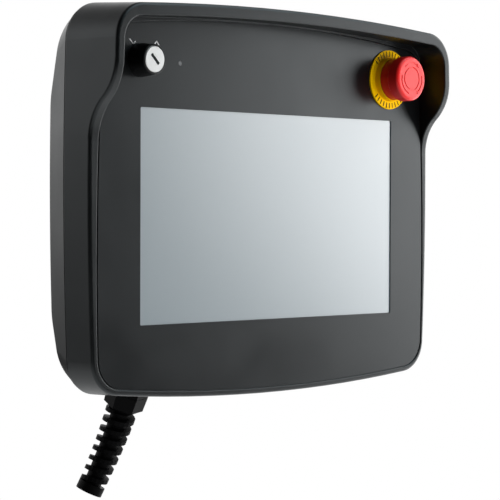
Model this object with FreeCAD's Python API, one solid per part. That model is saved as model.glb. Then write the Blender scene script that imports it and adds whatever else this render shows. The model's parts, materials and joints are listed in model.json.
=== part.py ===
"""Handheld touch screen operator panel with an emergency stop, a key switch and an enabling switch.

Frame: X to the operator's right, Y from the screen towards the back, Z up, in millimetres.
The origin is the centre of the arm mount, on the flat of the rear cover, behind the screen's centre.
"""

import FreeCAD, Part
import math
import os

# Screen's active area, and the housing's outline around it, seen from the front, at the parting line
SCREEN_WIDTH = 222.7
SCREEN_HEIGHT = 125.3
BODY_X = -1.1
SIDE_MARGIN = 38.45
TOP_MARGIN = 64.25
BOTTOM_MARGIN = 45.65
SIDE_RADIUS = 2140.0
SIDE_MID_Z = 22.0
TOP_RADIUS = 1800.0
BOTTOM_RADIUS = 1380.0
TOP_CORNER = 24.0
BOTTOM_CORNER = 21.0

# Depths, counted from the arm mount's face towards the screen
PLATEAU_RISE = 12.0
REAR_DEPTH = 24.8
FRONT_DEPTH = 21.2
HOOD_REACH = 21.0
OVERLAY_RECESS = 0.2
OVERLAY_THICKNESS = 0.6
OVERLAY_GAP = 0.8
FRONT_WALL = 2.6

# Front housing
SIDE_DRAFT = 1.0
TOP_DRAFT = 2.8
EDGE_ROUND = 1.8
MOUTH_CHAMFER = 0.4
HOOD_SIDE_WALL = 5.6
HOOD_PAST = 3.0
HOOD_TOP_WALL = 9.3
HOOD_CURVE_LOW_Z = 42.0
HOOD_CURVE_HIGH_Z = 88.0
FILM_X = -0.4
FILM_SIDE_RADIUS = 1800.0
FILM_MID_Z = -25.0
FILM_TOP_RADIUS = 1100.0
FILM_BOTTOM_CORNER = 17.0
RIM_SIDE = 5.5
RIM_BOTTOM = 3.9
RIM_TOP = 9.9
OVERLAY_TOP_CORNER = 18.0
LEDGE_ROOT = 1.0
LEDGE_PROUD = 1.3
WALL = 3.2

# Rear housing
REAR_TAPER_DEG = 21.8
REAR_WALL = 3.0
WING_TOP_Z = 68.0
WING_BOTTOM_Z = -58.0
WING_SLOPE = 0.333
PLATEAU_SIDE_INSET = 45.8
PLATEAU_TOP_INSET = 42.9
PLATEAU_SIDE_LEAN = 6.0
PLATEAU_TOP_LEAN = 14.0
PLATEAU_CORNER = 14.0
REAR_EDGE_ROUND = 3.0
WING_CREASE_ROUND = 30.0
PARTING_GROOVE = 0.7

# Seal and screws between the two housings
SEAL_INSET = 0.9
SEAL_WIDTH = 1.3
SEAL_DEPTH = 1.5
SEAL_CLEARANCE = 0.05
SCREW_BRACKET_GAP = 0.9
SCREW_SIDE_TOP_Z = 57.0
SCREW_SIDE_BOTTOM_Z = -54.0
SCREW_MID_X = 58.0
SCREW_TOP_INSET = 17.9
SCREW_BOTTOM_INSET = 24.3
SCREW_RADIUS = 2.0
SCREW_HEAD_RADIUS = 3.8
SCREW_HEAD_HEIGHT = 2.6
SCREW_GRIP = 4.0
SCREW_BITE = 12.0
SCREW_CLEARANCE = 0.25
SCREW_BRIM = 0.5
SCREW_CROWN = 0.75
SCREW_SOCKET = 0.9
BOSS_RADIUS = 4.6
REAR_BOSS_RADIUS = 6.2

# Screen
WINDOW_CORNER = 0.8
TOUCH_MARGIN = 6.0
TOUCH_THICKNESS = 1.8
TOUCH_CLEARANCE = 0.4
TOUCH_CORNER = 2.0
GASKET_THICKNESS = 0.8
GASKET_WIDTH = 4.0
GASKET_GAP = 0.5
LCD_MARGIN = 3.2
LCD_THICKNESS = 1.4
LCD_CORNER = 0.8
LCD_FRAME_WALL = 1.0
LCD_FRAME_CLEARANCE = 0.1
BACKLIGHT_THICKNESS = 4.0
BRACKET_THICKNESS = 1.2
BRACKET_EDGE = 3.0
BRACKET_MARGIN_Z = 9.0
BRACKET_SCREW_MARGIN = 8.15
BRACKET_SCREW_Z = 46.0
BRACKET_BOSS_RADIUS = 2.9
SMALL_SCREW_RADIUS = 1.25
SMALL_HEAD_RADIUS = 2.4
SMALL_HEAD_HEIGHT = 1.6
SMALL_SCREW_BITE = 3.5
SMALL_SCREW_CLEARANCE = 0.2

# Circuit board on the bracket
BOARD_WIDTH = 150.0
BOARD_HEIGHT = 96.0
BOARD_THICKNESS = 1.6
BOARD_CORNER = 3.0
CHIP_SIZE = 21.0
CHIP_THICKNESS = 1.8
STANDOFF_HEIGHT = 6.0
STANDOFF_RADIUS = 2.75
STANDOFF_INSET = 6.0
SINK_WIDTH = 40.0
SINK_HEIGHT = 36.0
SINK_BASE = 2.5
SINK_FIN = 1.4
SINK_FIN_TALL = 7.5
SINK_FINS = 8
SINK_X = 8.0
SINK_Z = 14.0
CAPACITOR_RADIUS = 4.0
CAPACITOR_TALL = 10.5
CAPACITOR_PITCH = 11.0
CAPACITOR_COUNT = 3
CAPACITOR_SIDE_INSET = 17.0
CAPACITOR_TOP_INSET = 14.0
TERMINAL_POLES = 8
TERMINAL_PITCH = 5.0
TERMINAL_DEPTH = 9.5
TERMINAL_TALL = 11.0
TERMINAL_SIDE_INSET = 13.0
TERMINAL_LOW_INSET = 10.0
TERMINAL_SCREW_RADIUS = 1.5
TERMINAL_SCREW_DEPTH = 1.5
CELL_RADIUS = 10.0
CELL_THICKNESS = 3.2
CELL_SIDE_INSET = 23.0
CELL_Z = 12.0
CELL_HOLDER_WALL = 1.2
CELL_HOLDER_FLOOR = 1.0
CELL_HOLDER_LIP = 2.6
CELL_CLEARANCE = 0.1
PLUG_WIDTHS = (24.0, 16.0, 12.0)
PLUG_DEPTH = 6.0
PLUG_TALL = 5.5
PLUG_SIDE_INSET = 12.0
PLUG_LOW_INSET = 10.0
PLUG_GAP = 4.0
PLUG_WALL = 1.0
FLEX_WIDTH = 26.0
FLEX_THICKNESS = 0.3
FLEX_X = -12.0
FLEX_Z = -30.0
FLEX_SLOT_GAP = 0.6

# Arm mount: four threaded brass inserts on a 75 mm square
MOUNT_PITCH = 75.0
INSERT_RADIUS = 3.2
INSERT_LENGTH = 8.0
INSERT_BORE = 1.65
INSERT_BOSS_RADIUS = 6.0
INSERT_FLOOR = 2.5

# Switches on the front, both in 16 mm panel holes
STOP_SIDE_INSET = 40.4
KEY_SIDE_INSET = 39.2
SWITCH_TOP_INSET = 37.65
PANEL_HOLE_RADIUS = 8.1
BARREL_RADIUS = 8.0
NUT_FLATS = 20.0
NUT_THICKNESS = 4.0
NUT_CLEARANCE = 0.05
BARREL_BEHIND_WALL = 14.0
CONTACT_WIDTH = 18.0
CONTACT_HEIGHT = 18.0
CONTACT_LENGTH = 12.0
CONTACT_ROUND = 1.0
CONTACT_WELL = 6.0
CONTACT_PIN_LENGTH = 4.0
CONTACT_PIN_WIDTH = 2.8
CONTACT_PIN_THICKNESS = 0.8

# Emergency stop
LEGEND_RADIUS = 19.1
LEGEND_THICKNESS = 1.0
COLLAR_RADIUS = 14.0
COLLAR_BORE = 13.2
COLLAR_HEIGHT = 3.7
COLLAR_CHAMFER = 0.3
STOP_FLANGE_RADIUS = 10.4
STOP_FLANGE_THICKNESS = 1.4
STOP_BARREL_TOP = 4.0
STOP_BORE = 5.6
STOP_SEAL_RADIUS = 11.2
STOP_TRAVEL = 3.2
STOP_TRAVEL_GAP = 0.25
STOP_SKIRT_RADIUS = 13.0
STOP_SKIRT_WALL = 2.0
STOP_HEAD_RADIUS = 14.3
STOP_HEAD_FLANGE = 8.0
STOP_HEAD_TOP = 19.8
STOP_HEAD_ROUND = 2.2
STOP_HUB_RADIUS = 7.0
STOP_PIN_RADIUS = 4.0
STOP_PIN_LENGTH = 5.0
STOP_PIN_CLEARANCE = 0.05
STOP_STEM_CLEARANCE = 0.1
STOP_RING_RADIUS = 7.3
STOP_ARROW_RADIUS = 10.1
STOP_GROOVE_WIDTH = 0.8
STOP_GROOVE_DEPTH = 0.45
STOP_ARROWS = 3
STOP_ARROW_START_DEG = 133.0
STOP_ARROW_SWEEP_DEG = 70.0
STOP_ARROW_BARB = 2.4
STOP_ARROW_POINT = 3.1

# Key switch
KEY_BARREL_RADIUS = 8.6
KEY_FLANGE_RADIUS = 9.6
KEY_FLANGE_THICKNESS = 1.8
KEY_HEIGHT = 12.2
KEY_RIM_CHAMFER = 0.5
KEY_FACE_RADIUS = 7.6
KEY_FACE_PROUD = 0.25
KEY_FACE_CHAMFER = 0.5
KEY_ROTOR_CLEARANCE = 0.06
KEY_FACE_DEPTH = 8.0
KEY_STEM_RADIUS = 5.4
KEY_SLOT_LENGTH = 7.8
KEY_SLOT_WIDTH = 1.9
KEY_SLOT_DEPTH = 6.5
KEY_REST_DEG = 45.0
KEY_SEAL_RADIUS = 9.3

# Status light
LIGHT_FROM_KEY = 31.6
LIGHT_RADIUS = 1.35
LIGHT_FLANGE_RADIUS = 2.4
LIGHT_FLANGE_THICKNESS = 1.5
LIGHT_CLEARANCE = 0.15

# Enabling switch on the rear wing, under the fingers of the holding hand
ENABLE_SIDE_INSET = 31.9
ENABLE_Z = 2.0
ENABLE_WIDTH = 17.0
ENABLE_LENGTH = 62.0
ENABLE_PROUD = 7.0
ENABLE_TRAVEL = 5.0
ENABLE_CROWN = 4.0
ENABLE_CLEARANCE = 0.35
ENABLE_BEZEL_WALL = 2.4
ENABLE_BEZEL_PROUD = 1.2
ENABLE_BEZEL_LIP = 1.6
ENABLE_SEAT_GAP = 0.1
ENABLE_MODULE_WALL = 2.2
ENABLE_TRAVEL_ROOM = 4.0
ENABLE_MODULE_FLOOR = 2.5
ENABLE_FLANGE = 2.0
ENABLE_FLANGE_THICKNESS = 1.6
ENABLE_FLANGE_GAP = 0.3

# Cable gland on the bottom of the rear housing
GLAND_SIDE_INSET = 70.9
GLAND_DEPTH = 16.5
GLAND_THREAD_RADIUS = 8.0
GLAND_HOLE_RADIUS = 8.2
GLAND_PAD_RADIUS = 14.5
GLAND_PAD_PROUD = 3.1
GLAND_FLATS = 22.0
GLAND_WASHER = 1.0
GLAND_FLANGE = 4.0
GLAND_STUB_RADIUS = 8.6
GLAND_STUB = 7.0
GLAND_TAIL = 9.0
GLAND_BORE = 6.4
GLAND_NUT = 9.0
GLAND_NUT_TOP_FLATS = 21.0
GLAND_DOME = 4.0
GLAND_NUT_GAP = 0.3
GLAND_THREAD_GAP = 0.1
GLAND_LOCK_GAP = 0.15
CABLE_BORE = 4.4
GUARD_LENGTH = 51.5
GUARD_CUFF = 5.5
GUARD_CORE_START = 6.0
GUARD_CORE_END = 5.4
GUARD_RIB_START = 9.9
GUARD_RIB_END = 8.2
GUARD_RIB_FROM = 3.0
GUARD_TURNS = 7.4
GUARD_STEPS_PER_TURN = 20
GUARD_RIB_ROOT = 3.6
GUARD_RIB_TIP = 2.6
GUARD_RIB_SINK = 0.5
GUARD_END_LEAN_X = -0.35
GUARD_END_LEAN_Y = 0.31

# The outline's reach from the screen's centre
HALF_WIDTH = SCREEN_WIDTH / 2 + SIDE_MARGIN
BODY_LEFT, BODY_RIGHT = BODY_X - HALF_WIDTH, BODY_X + HALF_WIDTH
TOP_Z = SCREEN_HEIGHT / 2 + TOP_MARGIN
BOTTOM_Z = -SCREEN_HEIGHT / 2 - BOTTOM_MARGIN

# Stations along Y that follow from the depths above
Y_BACK = 0.0
Y_WING = Y_BACK - PLATEAU_RISE
Y_WING_INSIDE = Y_WING - REAR_WALL
Y_PART = Y_WING - REAR_DEPTH
Y_RIM = Y_PART - FRONT_DEPTH
Y_HOOD = Y_RIM - HOOD_REACH
Y_LEDGE = Y_RIM - LEDGE_PROUD
Y_OVERLAY = Y_RIM + OVERLAY_RECESS
Y_SEAT = Y_OVERLAY + OVERLAY_THICKNESS
Y_INSIDE = Y_SEAT + FRONT_WALL
Y_TOUCH_BACK = Y_SEAT + TOUCH_THICKNESS
Y_LCD = Y_TOUCH_BACK + GASKET_THICKNESS
Y_BACKLIGHT = Y_LCD + LCD_THICKNESS
Y_BRACKET = Y_BACKLIGHT + BACKLIGHT_THICKNESS
Y_BRACKET_BACK = Y_BRACKET + BRACKET_THICKNESS
Y_BOARD = Y_BRACKET_BACK + STANDOFF_HEIGHT
Y_BOARD_BACK = Y_BOARD + BOARD_THICKNESS

# Places on the front and back that follow from the outline
SWITCH_Z = TOP_Z - SWITCH_TOP_INSET
STOP_X = BODY_RIGHT - STOP_SIDE_INSET
KEY_X = BODY_LEFT + KEY_SIDE_INSET
LIGHT_X = KEY_X + LIGHT_FROM_KEY
ENABLE_X = BODY_LEFT + ENABLE_SIDE_INSET
SCREW_TOP_Z = TOP_Z - SCREW_TOP_INSET
SCREW_BOTTOM_Z = BOTTOM_Z + SCREW_BOTTOM_INSET
BRACKET_SCREW_X = SCREEN_WIDTH / 2 + BRACKET_SCREW_MARGIN
SCREW_SIDE_X = BRACKET_SCREW_X + BRACKET_EDGE + SCREW_BRACKET_GAP + BOSS_RADIUS
PLATEAU_HALF_WIDTH = HALF_WIDTH - PLATEAU_SIDE_INSET
PLATEAU_TOP_Z = TOP_Z - PLATEAU_TOP_INSET
GLAND_X = BODY_LEFT + GLAND_SIDE_INSET

# Places on the circuit board that follow from its edges
BOARD_LEFT, BOARD_RIGHT = -BOARD_WIDTH / 2, BOARD_WIDTH / 2
BOARD_TOP, BOARD_LOW = BOARD_HEIGHT / 2, -BOARD_HEIGHT / 2
CAPACITOR_X, CAPACITOR_Z = BOARD_LEFT + CAPACITOR_SIDE_INSET, BOARD_TOP - CAPACITOR_TOP_INSET
TERMINAL_WIDTH = TERMINAL_POLES * TERMINAL_PITCH
TERMINAL_X = BOARD_LEFT + TERMINAL_SIDE_INSET + TERMINAL_WIDTH / 2
TERMINAL_Z = BOARD_LOW + TERMINAL_LOW_INSET
PLUG_X = BOARD_RIGHT - PLUG_SIDE_INSET - sum(PLUG_WIDTHS) - PLUG_GAP * (len(PLUG_WIDTHS) - 1)
PLUG_Z = BOARD_LOW + PLUG_LOW_INSET
CELL_X = BOARD_RIGHT - CELL_SIDE_INSET

REAR_TAPER = math.tan(math.radians(REAR_TAPER_DEG))
FAR = 400.0
OVERCUT = 1.0
NEAR = 0.01
BACKWARD = FreeCAD.Vector(0, 1, 0)
FORWARD = FreeCAD.Vector(0, -1, 0)
FILM_SIDES = {"x": FILM_X, "side_radius": FILM_SIDE_RADIUS, "mid_z": FILM_MID_Z}
POCKET_CORNER = FILM_BOTTOM_CORNER + OVERLAY_GAP


def vec(x, y, z):
    return FreeCAD.Vector(x, y, z)


def circles_meet(c1, r1, c2, r2, near):
    """The point at distance r1 from c1 and r2 from c2, in the XZ plane, on the side of the point near."""
    dx, dz = c2[0] - c1[0], c2[1] - c1[1]
    d = math.hypot(dx, dz)
    along = (d * d + r1 * r1 - r2 * r2) / (2 * d)
    across = math.sqrt(r1 * r1 - along * along)
    foot = (c1[0] + dx * along / d, c1[1] + dz * along / d)
    both = [(foot[0] + s * dz * across / d, foot[1] - s * dx * across / d) for s in (1, -1)]
    return min(both, key=lambda p: math.hypot(p[0] - near[0], p[1] - near[1]))


def on_circle(centre, radius, towards):
    """The point of a circle in the direction of another point."""
    dx, dz = towards[0] - centre[0], towards[1] - centre[1]
    d = math.hypot(dx, dz)
    return (centre[0] + dx * radius / d, centre[1] + dz * radius / d)


def outline(y, side=0.0, top=0.0, bottom=0.0, top_corner=None, bottom_corner=None,
            x=BODY_X, side_radius=SIDE_RADIUS, mid_z=SIDE_MID_Z, top_radius=TOP_RADIUS):
    """The housing's bowed outline at a depth, moved inwards by the insets: four arcs and four corners."""
    half, high, low = HALF_WIDTH - side, TOP_Z - top, BOTTOM_Z + bottom
    r_side, r_top, r_bottom = side_radius - side, top_radius - top, BOTTOM_RADIUS - bottom
    right = (half - r_side, mid_z)
    left = (r_side - half, mid_z)
    over = (0.0, high - r_top)
    under = (0.0, low + r_bottom)
    c_top = TOP_CORNER - max(side, top) if top_corner is None else top_corner
    c_bottom = BOTTOM_CORNER - max(side, bottom) if bottom_corner is None else bottom_corner
    ring = [
        (left, r_side, over, r_top, c_top, (-half, high)),
        (over, r_top, right, r_side, c_top, (half, high)),
        (right, r_side, under, r_bottom, c_bottom, (half, low)),
        (under, r_bottom, left, r_side, c_bottom, (-half, low)),
    ]
    corners = []
    for c1, r1, c2, r2, r, near in ring:
        centre = circles_meet(c1, r1 - r, c2, r2 - r, near)
        first, last = on_circle(c1, r1, centre), on_circle(c2, r2, centre)
        middle = on_circle(centre, r, ((first[0] + last[0]) / 2, (first[1] + last[1]) / 2))
        corners.append((first, middle, last))
    edges = []
    for i, (c1, r1, c2, r2, r, near) in enumerate(ring):
        first, middle, last = corners[i]
        following = corners[(i + 1) % 4][0]
        bow = on_circle(c2, r2, ((last[0] + following[0]) / 2, (last[1] + following[1]) / 2))
        for a, m, b in ((first, middle, last), (last, bow, following)):
            edges.append(Part.Arc(*[vec(x + p[0], y, p[1]) for p in (a, m, b)]).toShape())
    return Part.Wire(edges)


def loft(*wires):
    return Part.makeLoft(list(wires), True, True)


def prism(wire, depth):
    """A closed wire in an XZ plane, made solid towards the back."""
    return Part.Face(wire).extrude(vec(0, depth, 0))


def rounded_rectangle(y, width, height, radius, x=0.0, z=0.0):
    w, h = width / 2, height / 2
    k = radius * (1 - math.sqrt(0.5))
    edges = []
    for sx, sz in ((1, 1), (1, -1), (-1, -1), (-1, 1)):
        a, b = (x + sx * (w - radius), z + sz * h), (x + sx * w, z + sz * (h - radius))
        middle = (x + sx * (w - k), z + sz * (h - k))
        first, last = (a, b) if sx * sz > 0 else (b, a)
        edges.append([first, middle, last])
    out = []
    for i, (first, middle, last) in enumerate(edges):
        out.append(Part.Arc(*[vec(p[0], y, p[1]) for p in (first, middle, last)]).toShape())
        nxt = edges[(i + 1) % 4][0]
        out.append(Part.makeLine(vec(last[0], y, last[1]), vec(nxt[0], y, nxt[1])))
    return Part.Wire(out)


def plate(y, depth, width, height, radius, x=0.0, z=0.0):
    return prism(rounded_rectangle(y, width, height, radius, x, z), depth)


def block(y, depth, width, height, x=0.0, z=0.0):
    return Part.makeBox(width, depth, height, vec(x - width / 2, y, z - height / 2))


def rod(y, depth, radius, x=0.0, z=0.0):
    return Part.makeCylinder(radius, depth, vec(x, y, z), BACKWARD)


def through(y, depth, radius, x=0.0, z=0.0):
    """A round cutter that runs past both faces of what it cuts."""
    return rod(y - OVERCUT, depth + 2 * OVERCUT, radius, x, z)


def tube(y, depth, outer, inner, x=0.0, z=0.0):
    return rod(y, depth, outer, x, z).cut(through(y, depth, inner, x, z))


def hexagon(flats, base, axis, height, top_flats=None):
    """A six-sided solid standing on a point along an axis, tapered if its far end has other flats."""
    wires = []
    for lift, size in ((0.0, flats), (height, top_flats or flats)):
        r = size / math.sqrt(3)
        turn = FreeCAD.Rotation(vec(0, 0, 1), axis)
        points = [turn.multVec(vec(r * math.cos(a), r * math.sin(a), 0))
                  for a in (math.radians(60 * i) for i in range(7))]
        wires.append(Part.makePolygon([base + axis * lift + p for p in points]))
    return loft(*wires)


def lathe(profile, x, z):
    """A closed outline of (radius, y) points, spun about an axis along Y."""
    points = [vec(x + r, y, z) for r, y in profile]
    return Part.Face(Part.makePolygon(points + points[:1])).revolve(vec(x, 0, z), BACKWARD, 360)


def edges_where(shape, test):
    return [e for e in shape.Edges if test(e)]


def middle_of(edge):
    return edge.valueAt((edge.FirstParameter + edge.LastParameter) / 2)


def along_x(edge):
    a, b = edge.Vertexes[0].Point, edge.Vertexes[-1].Point
    return abs(a.z - b.z) < NEAR and abs(a.y - b.y) < NEAR and edge.Curve.TypeId == "Part::GeomLine"


# The hood's side profile: two equal arcs that swing from the low rim out to the hood
CURVE_RISE = HOOD_CURVE_HIGH_Z - HOOD_CURVE_LOW_Z
CURVE_RADIUS = (CURVE_RISE ** 2 + HOOD_REACH ** 2) / (4 * HOOD_REACH)


def front_y(z):
    """The Y of the front housing's side profile at a height."""
    below, above = max(z - HOOD_CURVE_LOW_Z, 0.0), max(HOOD_CURVE_HIGH_Z - z, 0.0)
    nearer = min(below, above)
    swing = CURVE_RADIUS - math.sqrt(CURVE_RADIUS ** 2 - nearer ** 2)
    return Y_RIM - swing if below < above else Y_HOOD + swing


def hood_profile(x):
    """The closed side profile of the front housing, in the YZ plane at x."""
    def at(share):
        z = HOOD_CURVE_LOW_Z + CURVE_RISE * share
        return vec(x, front_y(z), z)

    below, above, behind = BOTTOM_Z - FAR, TOP_Z + FAR, Y_PART + OVERCUT
    lines = [
        Part.makeLine(vec(x, behind, below), vec(x, Y_RIM, below)),
        Part.makeLine(vec(x, Y_RIM, below), at(0)),
        Part.Arc(at(0), at(1 / 4), at(1 / 2)).toShape(),
        Part.Arc(at(1 / 2), at(3 / 4), at(1)).toShape(),
        Part.makeLine(at(1), vec(x, Y_HOOD, above)),
        Part.makeLine(vec(x, Y_HOOD, above), vec(x, behind, above)),
        Part.makeLine(vec(x, behind, above), vec(x, behind, below)),
    ]
    return Part.Wire(lines)


def on_wall(edge, cutter):
    """True for an edge that lies on what has been cut with a solid."""
    return cutter.distToShape(Part.Vertex(middle_of(edge)))[0] < NEAR


def on_front(edge):
    """True for an edge on the front housing's front surface that doesn't just cross it from side to side."""
    middle = middle_of(edge)
    return abs(middle.y - front_y(middle.z)) < NEAR and not along_x(edge)


SCREW_PLACES = [(sx * SCREW_SIDE_X, z) for sx in (-1, 1) for z in (SCREW_SIDE_TOP_Z, SCREW_SIDE_BOTTOM_Z)]
SCREW_PLACES += [(sx * SCREW_MID_X, z) for sx in (-1, 1) for z in (SCREW_TOP_Z, SCREW_BOTTOM_Z)]
BRACKET_PLACES = [(sx * BRACKET_SCREW_X, sz * BRACKET_SCREW_Z) for sx in (-1, 1) for sz in (-1, 1)]
BOARD_PLACES = [(sx * (BOARD_WIDTH / 2 - STANDOFF_INSET), sz * (BOARD_HEIGHT / 2 - STANDOFF_INSET))
                for sx in (-1, 1) for sz in (-1, 1)]
MOUNT_PLACES = [(sx * MOUNT_PITCH / 2, sz * MOUNT_PITCH / 2) for sx in (-1, 1) for sz in (-1, 1)]


def front_housing():
    """The hooded front moulding: rim, hood, overlay pocket, window, switch holes and screw bosses."""
    tip = Y_HOOD - HOOD_PAST
    share = (tip - Y_PART) / (Y_HOOD - Y_PART)
    inset = SIDE_DRAFT * share
    body = loft(outline(Y_PART), outline(tip, inset, TOP_DRAFT * share, inset))
    body = body.common(Part.Face(hood_profile(-FAR)).extrude(vec(2 * FAR, 0, 0)))
    body = body.makeFillet(EDGE_ROUND, edges_where(body, on_front))
    mouth = loft(
        outline(Y_SEAT, RIM_SIDE, HOOD_TOP_WALL, RIM_BOTTOM, bottom_corner=POCKET_CORNER, **FILM_SIDES),
        outline(tip, HOOD_SIDE_WALL + SIDE_DRAFT, HOOD_TOP_WALL + SIDE_DRAFT, RIM_BOTTOM),
    )
    body = body.cut(mouth)
    body = body.makeChamfer(MOUTH_CHAMFER, edges_where(body, lambda e: on_front(e) and on_wall(e, mouth)))
    ledge = prism(outline(Y_LEDGE, RIM_SIDE - LEDGE_ROOT, HOOD_TOP_WALL - LEDGE_ROOT, RIM_BOTTOM - LEDGE_ROOT,
                          bottom_corner=POCKET_CORNER, **FILM_SIDES), Y_SEAT - Y_LEDGE)
    past = 2 * LEDGE_ROOT
    film_room = outline(Y_LEDGE - OVERCUT, RIM_SIDE - past, RIM_TOP, RIM_BOTTOM - past,
                        OVERLAY_TOP_CORNER + OVERLAY_GAP, POCKET_CORNER,
                        top_radius=FILM_TOP_RADIUS, **FILM_SIDES)
    ledge = ledge.cut(prism(film_room, Y_SEAT - Y_LEDGE + 2 * OVERCUT))
    hollow = prism(outline(Y_INSIDE, WALL, WALL, WALL), Y_PART - Y_INSIDE + OVERCUT)
    root = Y_INSIDE - OVERCUT
    bosses = [rod(root, Y_PART - root, BOSS_RADIUS, x, z) for x, z in SCREW_PLACES]
    bosses += [rod(root, Y_BRACKET - root, BRACKET_BOSS_RADIUS, x, z) for x, z in BRACKET_PLACES]
    body = body.fuse(ledge).cut(hollow).multiFuse(bosses)
    touch = 2 * (TOUCH_MARGIN + TOUCH_CLEARANCE)
    holes = [plate(Y_SEAT - OVERCUT, FRONT_WALL + 2 * OVERCUT,
                   SCREEN_WIDTH + touch, SCREEN_HEIGHT + touch, TOUCH_CORNER)]
    holes += [through(Y_SEAT, FRONT_WALL, PANEL_HOLE_RADIUS, x, SWITCH_Z) for x in (STOP_X, KEY_X)]
    holes += [through(Y_SEAT, FRONT_WALL, LIGHT_RADIUS + LIGHT_CLEARANCE, LIGHT_X, SWITCH_Z)]
    holes += [through(Y_PART - SCREW_BITE, SCREW_BITE, SCREW_RADIUS, x, z) for x, z in SCREW_PLACES]
    holes += [through(Y_BRACKET - SMALL_SCREW_BITE, SMALL_SCREW_BITE, SMALL_SCREW_RADIUS, x, z)
              for x, z in BRACKET_PLACES]
    groove = seal_ring(0.0, SEAL_DEPTH + OVERCUT)
    return body.cut(Part.makeCompound(holes)).cut(groove)


def seal_ring(clearance, depth):
    """The ring that the housing seal fills, in the front housing's rear edge."""
    outer = prism(outline(Y_PART - SEAL_DEPTH, *[SEAL_INSET + clearance] * 3), depth)
    hole = outline(Y_PART - SEAL_DEPTH - OVERCUT, *[SEAL_INSET + SEAL_WIDTH - clearance] * 3)
    return outer.cut(prism(hole, depth + 2 * OVERCUT))


def housing_seal():
    return seal_ring(SEAL_CLEARANCE, SEAL_DEPTH)


def wing_profile(x, wall):
    """The side profile of the rear cover's wings, with soft creases where the back bends forwards."""
    y = Y_WING - wall
    bend = math.atan(WING_SLOPE)
    rise = wall * math.tan(bend / 2)
    radius = WING_CREASE_ROUND - wall
    reach = radius * math.tan(bend / 2)
    top, bottom = WING_TOP_Z - rise, WING_BOTTOM_Z + rise
    points = []
    for z, way in ((bottom, -1), (top, 1)):
        flat = vec(x, y, z - way * reach)
        sag, half = radius * (1 - math.cos(bend / 2)), radius * math.sin(bend / 2)
        middle = vec(x, y - sag, z - way * (reach - half))
        sloped = vec(x, y - reach * math.sin(bend), z + way * reach * math.cos(bend))
        far = vec(x, y - WING_SLOPE * FAR, z + way * FAR)
        points.append((far, sloped, middle, flat))
    (far_low, sloped_low, mid_low, flat_low), (far_high, sloped_high, mid_high, flat_high) = points
    front_high, front_low = vec(x, -FAR, far_high.z), vec(x, -FAR, far_low.z)
    return Part.Wire([
        Part.makeLine(front_low, far_low),
        Part.makeLine(far_low, sloped_low),
        Part.Arc(sloped_low, mid_low, flat_low).toShape(),
        Part.makeLine(flat_low, flat_high),
        Part.Arc(flat_high, mid_high, sloped_high).toShape(),
        Part.makeLine(sloped_high, far_high),
        Part.makeLine(far_high, front_high),
        Part.makeLine(front_high, front_low),
    ])


def rear_forms(wall):
    """The rear cover's wings and its raised middle, or with a wall the hollows inside them."""
    y_back = Y_BACK - wall
    start = Y_PART + PARTING_GROOVE if wall == 0 else Y_PART - OVERCUT
    lean = wall / math.cos(math.radians(REAR_TAPER_DEG))
    ends = [(y, lean + (y - Y_PART) * REAR_TAPER) for y in (start, y_back)]
    corners = (TOP_CORNER - wall, BOTTOM_CORNER - wall)
    full = loft(*[outline(y, inset, inset, inset, *corners) for y, inset in ends])
    wings = full.common(Part.Face(wing_profile(-FAR, wall)).extrude(vec(2 * FAR, 0, 0)))
    levels = []
    for y in (start, y_back):
        climb = (y - Y_WING) / PLATEAU_RISE
        half = PLATEAU_HALF_WIDTH - wall - PLATEAU_SIDE_LEAN * climb
        high = PLATEAU_TOP_Z - wall - PLATEAU_TOP_LEAN * climb
        low = BOTTOM_Z - REAR_DEPTH
        levels.append(rounded_rectangle(y, 2 * half, high - low, PLATEAU_CORNER, 0, (high + low) / 2))
    middle = full.common(loft(*levels))
    return wings, middle


def gland_frame():
    """The gland's seat on the bottom of the rear cover: a point on the wall and its outward direction."""
    y = Y_BACK - GLAND_DEPTH
    radius = BOTTOM_RADIUS - (y - Y_PART) * REAR_TAPER
    centre_z = BOTTOM_Z + BOTTOM_RADIUS
    side = GLAND_X - BODY_X
    z = centre_z - math.sqrt(radius ** 2 - side ** 2)
    taper = math.radians(REAR_TAPER_DEG)
    out = vec(side / radius * math.cos(taper), math.sin(taper), (z - centre_z) / radius * math.cos(taper))
    return vec(GLAND_X, y, z), out.normalize()


def on_rear_rim(edge):
    """True for an edge that lies wholly behind the parting line."""
    return min(v.Point.y for v in edge.Vertexes) > Y_PART + 2 * PARTING_GROOVE


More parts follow.
